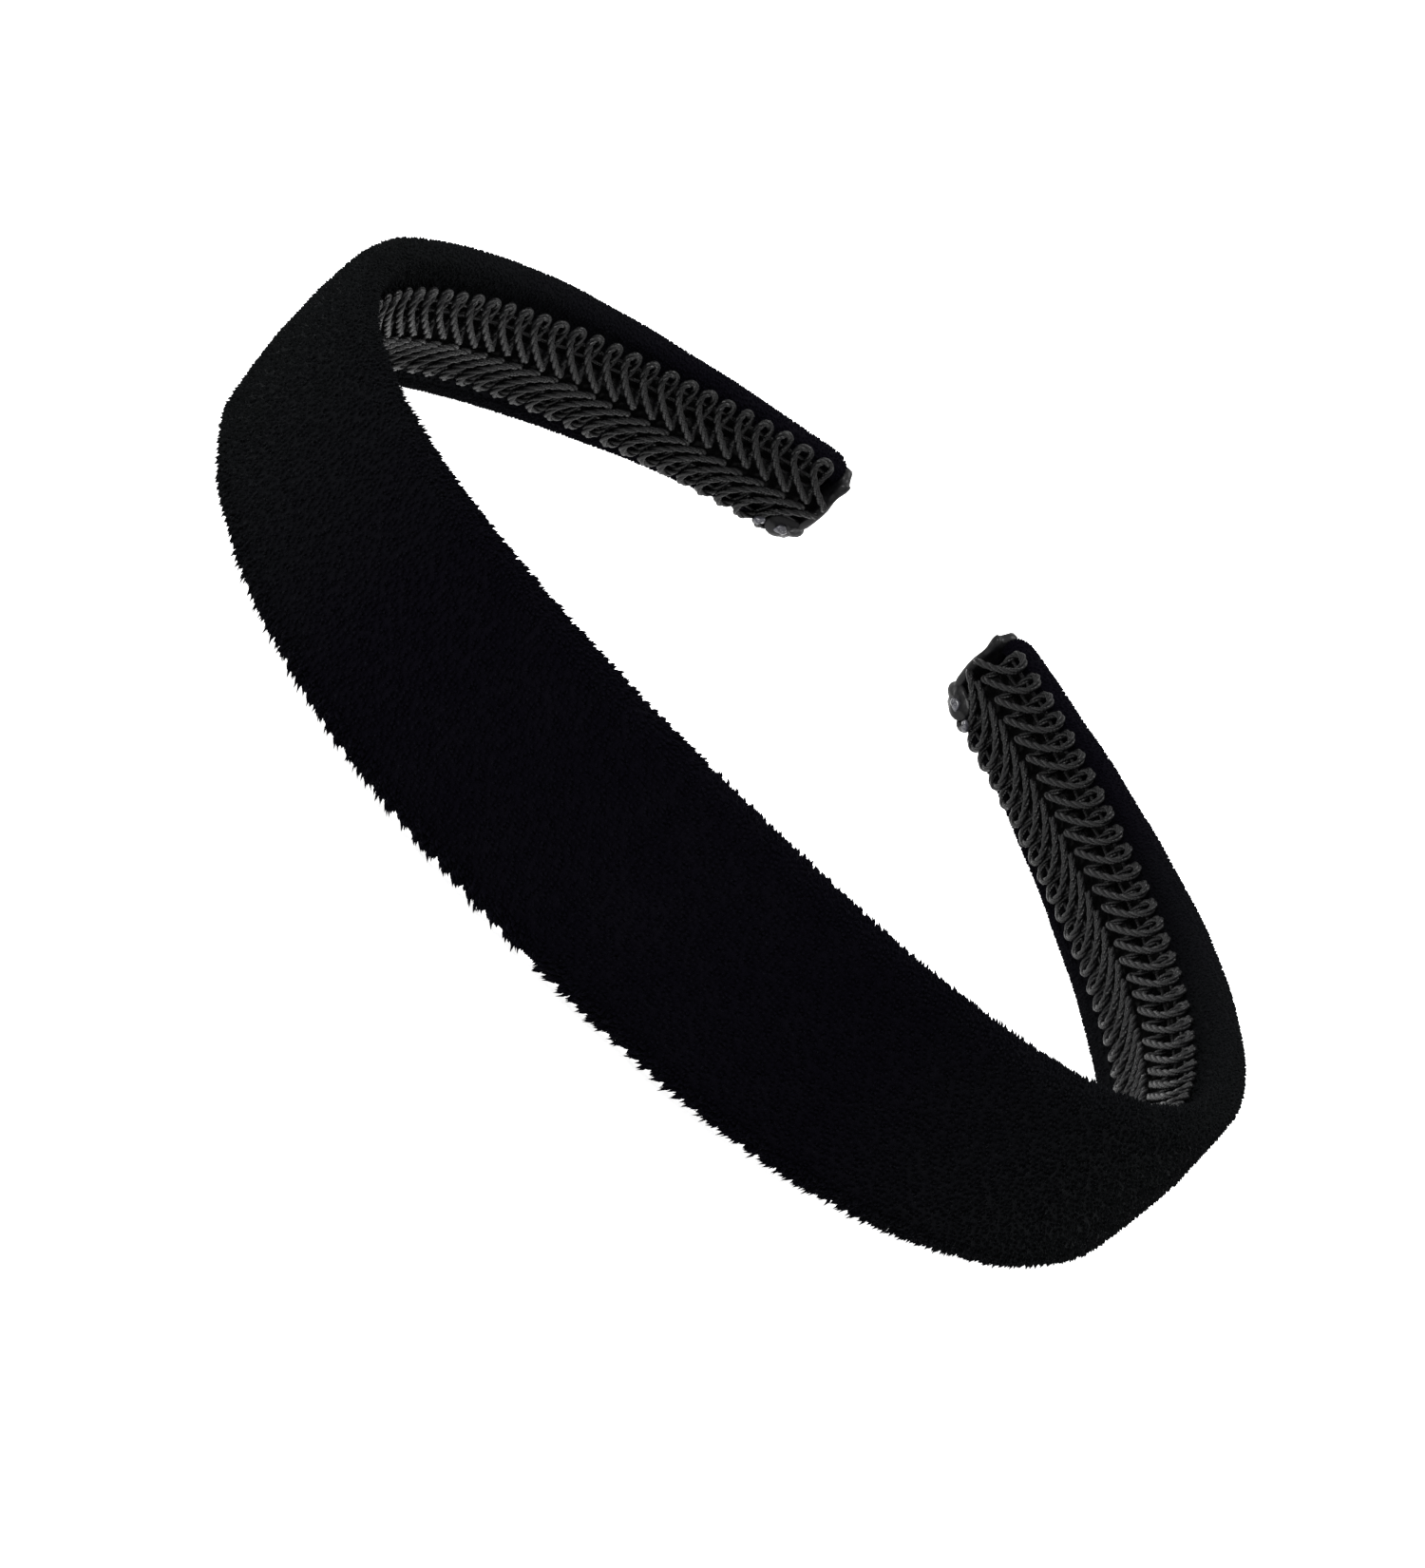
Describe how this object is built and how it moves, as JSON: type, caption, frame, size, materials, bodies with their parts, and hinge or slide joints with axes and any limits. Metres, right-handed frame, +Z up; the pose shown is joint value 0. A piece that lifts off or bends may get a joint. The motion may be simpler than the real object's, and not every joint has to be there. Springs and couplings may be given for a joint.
{
  "type": "headband",
  "caption": "Wide hoop headband covered in black velvet, lined with dark gimp braid, with hot-melt sealed tips and arms that spring open.",
  "frame": {"origin": "middle of the footprint, on the surface that the hoop lies on", "axes": "+X to the right-hand arm, +Y from the crown towards the open ends, +Z up, across the width of the band"},
  "size_m": [0.1358, 0.128, 0.0296],
  "materials": {
    "black_velvet": "matte",
    "gimp_braid": "satin",
    "core_plastic": "matte",
    "foam": "matte",
    "hem_glue": "satin",
    "tip_hot_melt": "gloss"
  },
  "bodies": {
    "crown": {"crown_core": "core_plastic", "crown_foam_pad": "foam", "crown_velvet_cover": "black_velvet", "crown_upper_hem_glue": "hem_glue", "crown_lower_hem_glue": "hem_glue", "crown_braid_glue": "hem_glue", "crown_upper_braid_row": "gimp_braid", "crown_lower_braid_row": "gimp_braid"},
    "left_arm": {"left_arm_core": "core_plastic", "left_arm_foam_pad": "foam", "left_arm_velvet_cover": "black_velvet", "left_arm_upper_hem_glue": "hem_glue", "left_arm_lower_hem_glue": "hem_glue", "left_arm_braid_glue": "hem_glue", "left_arm_upper_braid_row": "gimp_braid", "left_arm_lower_braid_row": "gimp_braid", "left_tip_glue": "tip_hot_melt"},
    "right_arm": {"right_arm_core": "core_plastic", "right_arm_foam_pad": "foam", "right_arm_velvet_cover": "black_velvet", "right_arm_upper_hem_glue": "hem_glue", "right_arm_lower_hem_glue": "hem_glue", "right_arm_braid_glue": "hem_glue", "right_arm_upper_braid_row": "gimp_braid", "right_arm_lower_braid_row": "gimp_braid", "right_tip_glue": "tip_hot_melt"}
  },
  "joints": [
    {"name": "left_arm_flex", "type": "hinge", "parent": "crown", "child": "left_arm", "pos_m": [-0.0654, -0.0263, 0.01301], "axis": [0, 0.0558, 0.9984], "range_deg": [0, 25], "stiffness_Nm_per_rad": 0.45},
    {"name": "right_arm_flex", "type": "hinge", "parent": "crown", "child": "right_arm", "pos_m": [0.0654, -0.0263, 0.01301], "axis": [0, -0.0558, -0.9984], "range_deg": [0, 25], "stiffness_Nm_per_rad": 0.45}
  ]
}
